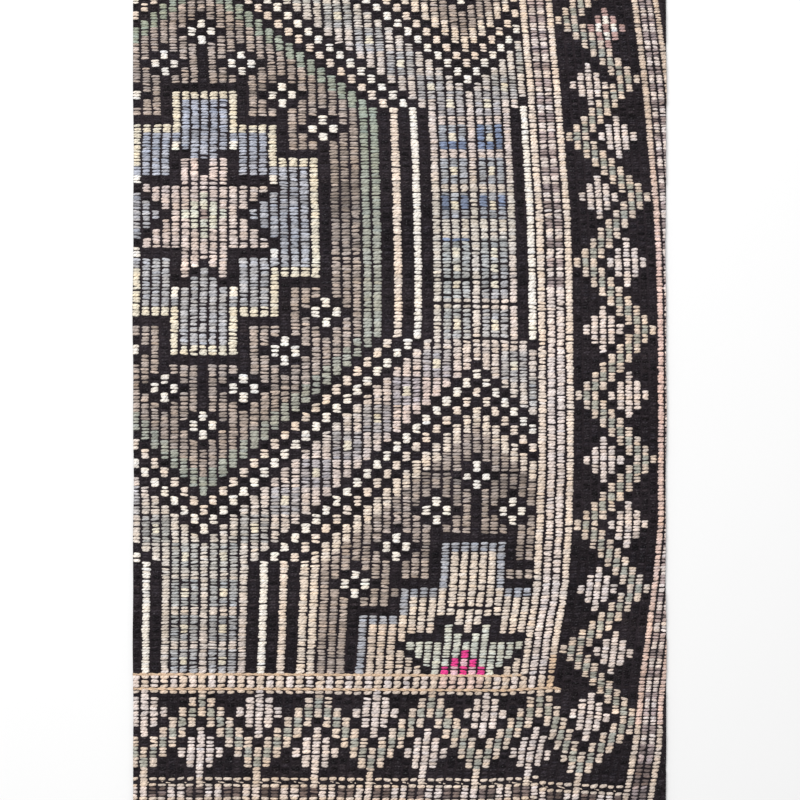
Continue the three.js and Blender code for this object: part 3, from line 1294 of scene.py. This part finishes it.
@dataclass
class TwinedLine:
    """Two strands twisted round each other across the cloth, half a turn for each cord."""

    shaders: WoolShaders
    name: str
    row: float
    last_cord: float
    first_cord: float = -8.5
    yarns: tuple[Yarn, Yarn] = (Yarn.TAN, Yarn.TAN)
    height: float = 2.7 * MM
    dip: float = 0.8 * MM
    twist: float = 0.5 * MM
    strand: float = 0.52 * MM
    steps_per_cord: int = 8
    ply_length: float = 3.0 * MM
    sides: int = 6
    flatness: float = 0.8
    end_cords: float = 0.3
    stray: float = 0.12

    def build(self) -> Piece:
        """Makes both strands as one piece.

        The middle line rides over the cords and dips between them by a cosine. Each strand turns
        round it at the twist radius, the second opposite the first.

        Returns:
            The twined line's object.
        """
        steps = int((self.last_cord - self.first_cord) * self.steps_per_cord)
        cord = np.linspace(self.first_cord, self.last_cord, steps + 1)
        middle = CLOTH.line_y(self.row, cord)
        rise = self.height + self.dip * (0.5 * np.cos(2 * np.pi * cord) - 0.5)
        angle = np.linspace(0, 2 * np.pi, self.sides, endpoint=False)[None, :]
        swell = np.clip(np.minimum(cord - cord[0], cord[-1] - cord) / self.end_cords, 0.02, 1)
        radius = (self.strand * swell**0.5)[:, None]
        points, colours, turns = [], [], []
        for order, yarn in enumerate(self.yarns):
            turn = np.pi * (cord + order) + 0.25 * np.pi
            y = (middle + self.twist * np.cos(turn))[:, None] + radius * np.cos(angle)
            z = (rise + self.flatness * self.twist * np.sin(turn))[:, None] + radius * np.sin(angle)
            rings = np.stack([CLOTH.cord_x(cord[:, None] + 0 * angle, y), y, z], axis=-1)
            poles = rings.mean(axis=1)
            points += [poles[:1], rings.reshape(-1, 3), poles[-1:]]
            noise = SoftNoise(31 + order, 0.8, 1.0)(cord, np.full(len(cord), self.row))
            tone = TONES[yarn].linear() * (1 + self.stray * noise)[:, None]
            colours += [tone[:1], np.repeat(tone, self.sides, axis=0), tone[-1:]]
            plies = cord[:, None] * CORD_PITCH / self.ply_length + angle / (2 * np.pi)
            turns += [plies[0, :1], plies.ravel(), plies[-1, :1]]
        quads, triangles = tube_faces(len(self.yarns), len(cord), self.sides)
        piece = make_mesh(self.name, CLOTH.trim(np.concatenate(points)), quads, triangles)
        set_colours(piece, np.concatenate(colours))
        set_turns(piece, np.concatenate(turns))
        piece.data.materials.append(self.shaders.material(LINE_WOOL))
        return piece


@dataclass
class Studio:
    """Plain pale floor, soft light and the camera straight above the cloth."""

    lens: float = 85.0
    frame_width: float = 0.5416
    camera_x: float = 0.0003
    floor_side: float = 6.0
    floor_tone: float = 0.86
    floor_mottle: float = 0.01
    light_power: float = 42.0
    light_side: float = 1.6
    light_place: tuple = (-0.5, 0.7, 1.9)
    light_turn: tuple = (-0.353, -0.257, 0.0)
    sky: float = 0.45

    def build(self) -> None:
        """Makes the floor, the lights and the camera."""
        self.build_floor()
        self.build_lights()
        self.build_camera()

    def build_floor(self) -> None:
        """A flat floor whose tone is faintly mottled."""
        half = self.floor_side / 2
        points = np.array([(-half, -half, 0), (half, -half, 0), (half, half, 0), (-half, half, 0)])
        floor = make_mesh("floor", points, np.array([[0, 1, 2, 3]]))
        paint = bpy.data.materials.new("floor_paint")
        paint.use_nodes = True
        tree = paint.node_tree
        place = add_node(tree, "ShaderNodeTexCoord").outputs["Object"]
        mottle = add_node(tree, "ShaderNodeTexNoise", {"Vector": place, "Scale": 3.0})
        tone = add_node(tree, "ShaderNodeMapRange", {
            "Value": mottle.outputs["Fac"],
            "To Min": self.floor_tone - self.floor_mottle,
            "To Max": self.floor_tone + self.floor_mottle,
        })
        surface = {"Roughness": 0.9, "Base Color": tone.outputs["Result"]}
        set_inputs(tree, tree.nodes["Principled BSDF"], surface)
        floor.data.materials.append(paint)

    def build_lights(self) -> None:
        """A large soft light above the upper left and an even sky."""
        data = bpy.data.lights.new("overhead", "AREA")
        data.shape = "SQUARE"
        data.size = self.light_side
        data.energy = self.light_power
        lamp = place_object("overhead", data)
        lamp.location = self.light_place
        lamp.rotation_mode = "XYZ"
        lamp.rotation_euler = self.light_turn
        world = bpy.data.worlds.new("studio_sky")
        world.use_nodes = True
        backdrop = world.node_tree.nodes["Background"]
        backdrop.inputs["Color"].default_value = (1.0, 1.0, 1.0, 1.0)
        backdrop.inputs["Strength"].default_value = self.sky
        bpy.context.scene.world = world
        bpy.context.scene.view_settings.view_transform = "Standard"

    def build_camera(self) -> None:
        """A camera straight above: its distance is the frame's width over the lens's spread."""
        data = bpy.data.cameras.new("camera")
        data.lens = self.lens
        data.clip_start = 0.01
        data.clip_end = 20.0
        camera = place_object("camera", data)
        distance = self.frame_width * self.lens / data.sensor_width
        camera.location = (self.camera_x, 0.0, distance + CLOTH.crown)
        bpy.context.scene.camera = camera


def main() -> None:
    """Builds the rug piece by piece and declares each one."""
    logging.basicConfig(level=logging.INFO, format="%(message)s")
    shaders = WoolShaders()
    Studio().build()
    ground = GroundCloth(shaders).build()
    yarns = PatternYarns(shaders, PatternChart()).build()
    lines = [
        TwinedLine(shaders, "upper_tan_line", 49.48, 33.8),
        TwinedLine(shaders, "lower_tan_line", 50.67, 38.4),
        TwinedLine(
            shaders, "cream_line", 60.0, 48.0, yarns=(Yarn.SAND, Yarn.DARK), height=1.95 * MM
        ),
        TwinedLine(shaders, "end_tan_line", 62.0, 48.0),
    ]
    lines = [line.build() for line in lines]
    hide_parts(CLOTH_NODE)
    for piece in [ground, *yarns, *lines]:
        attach(piece, "root")
        log.info("%s: %d faces", piece.name, len(piece.data.polygons))


if __name__ == "__main__":
    main()
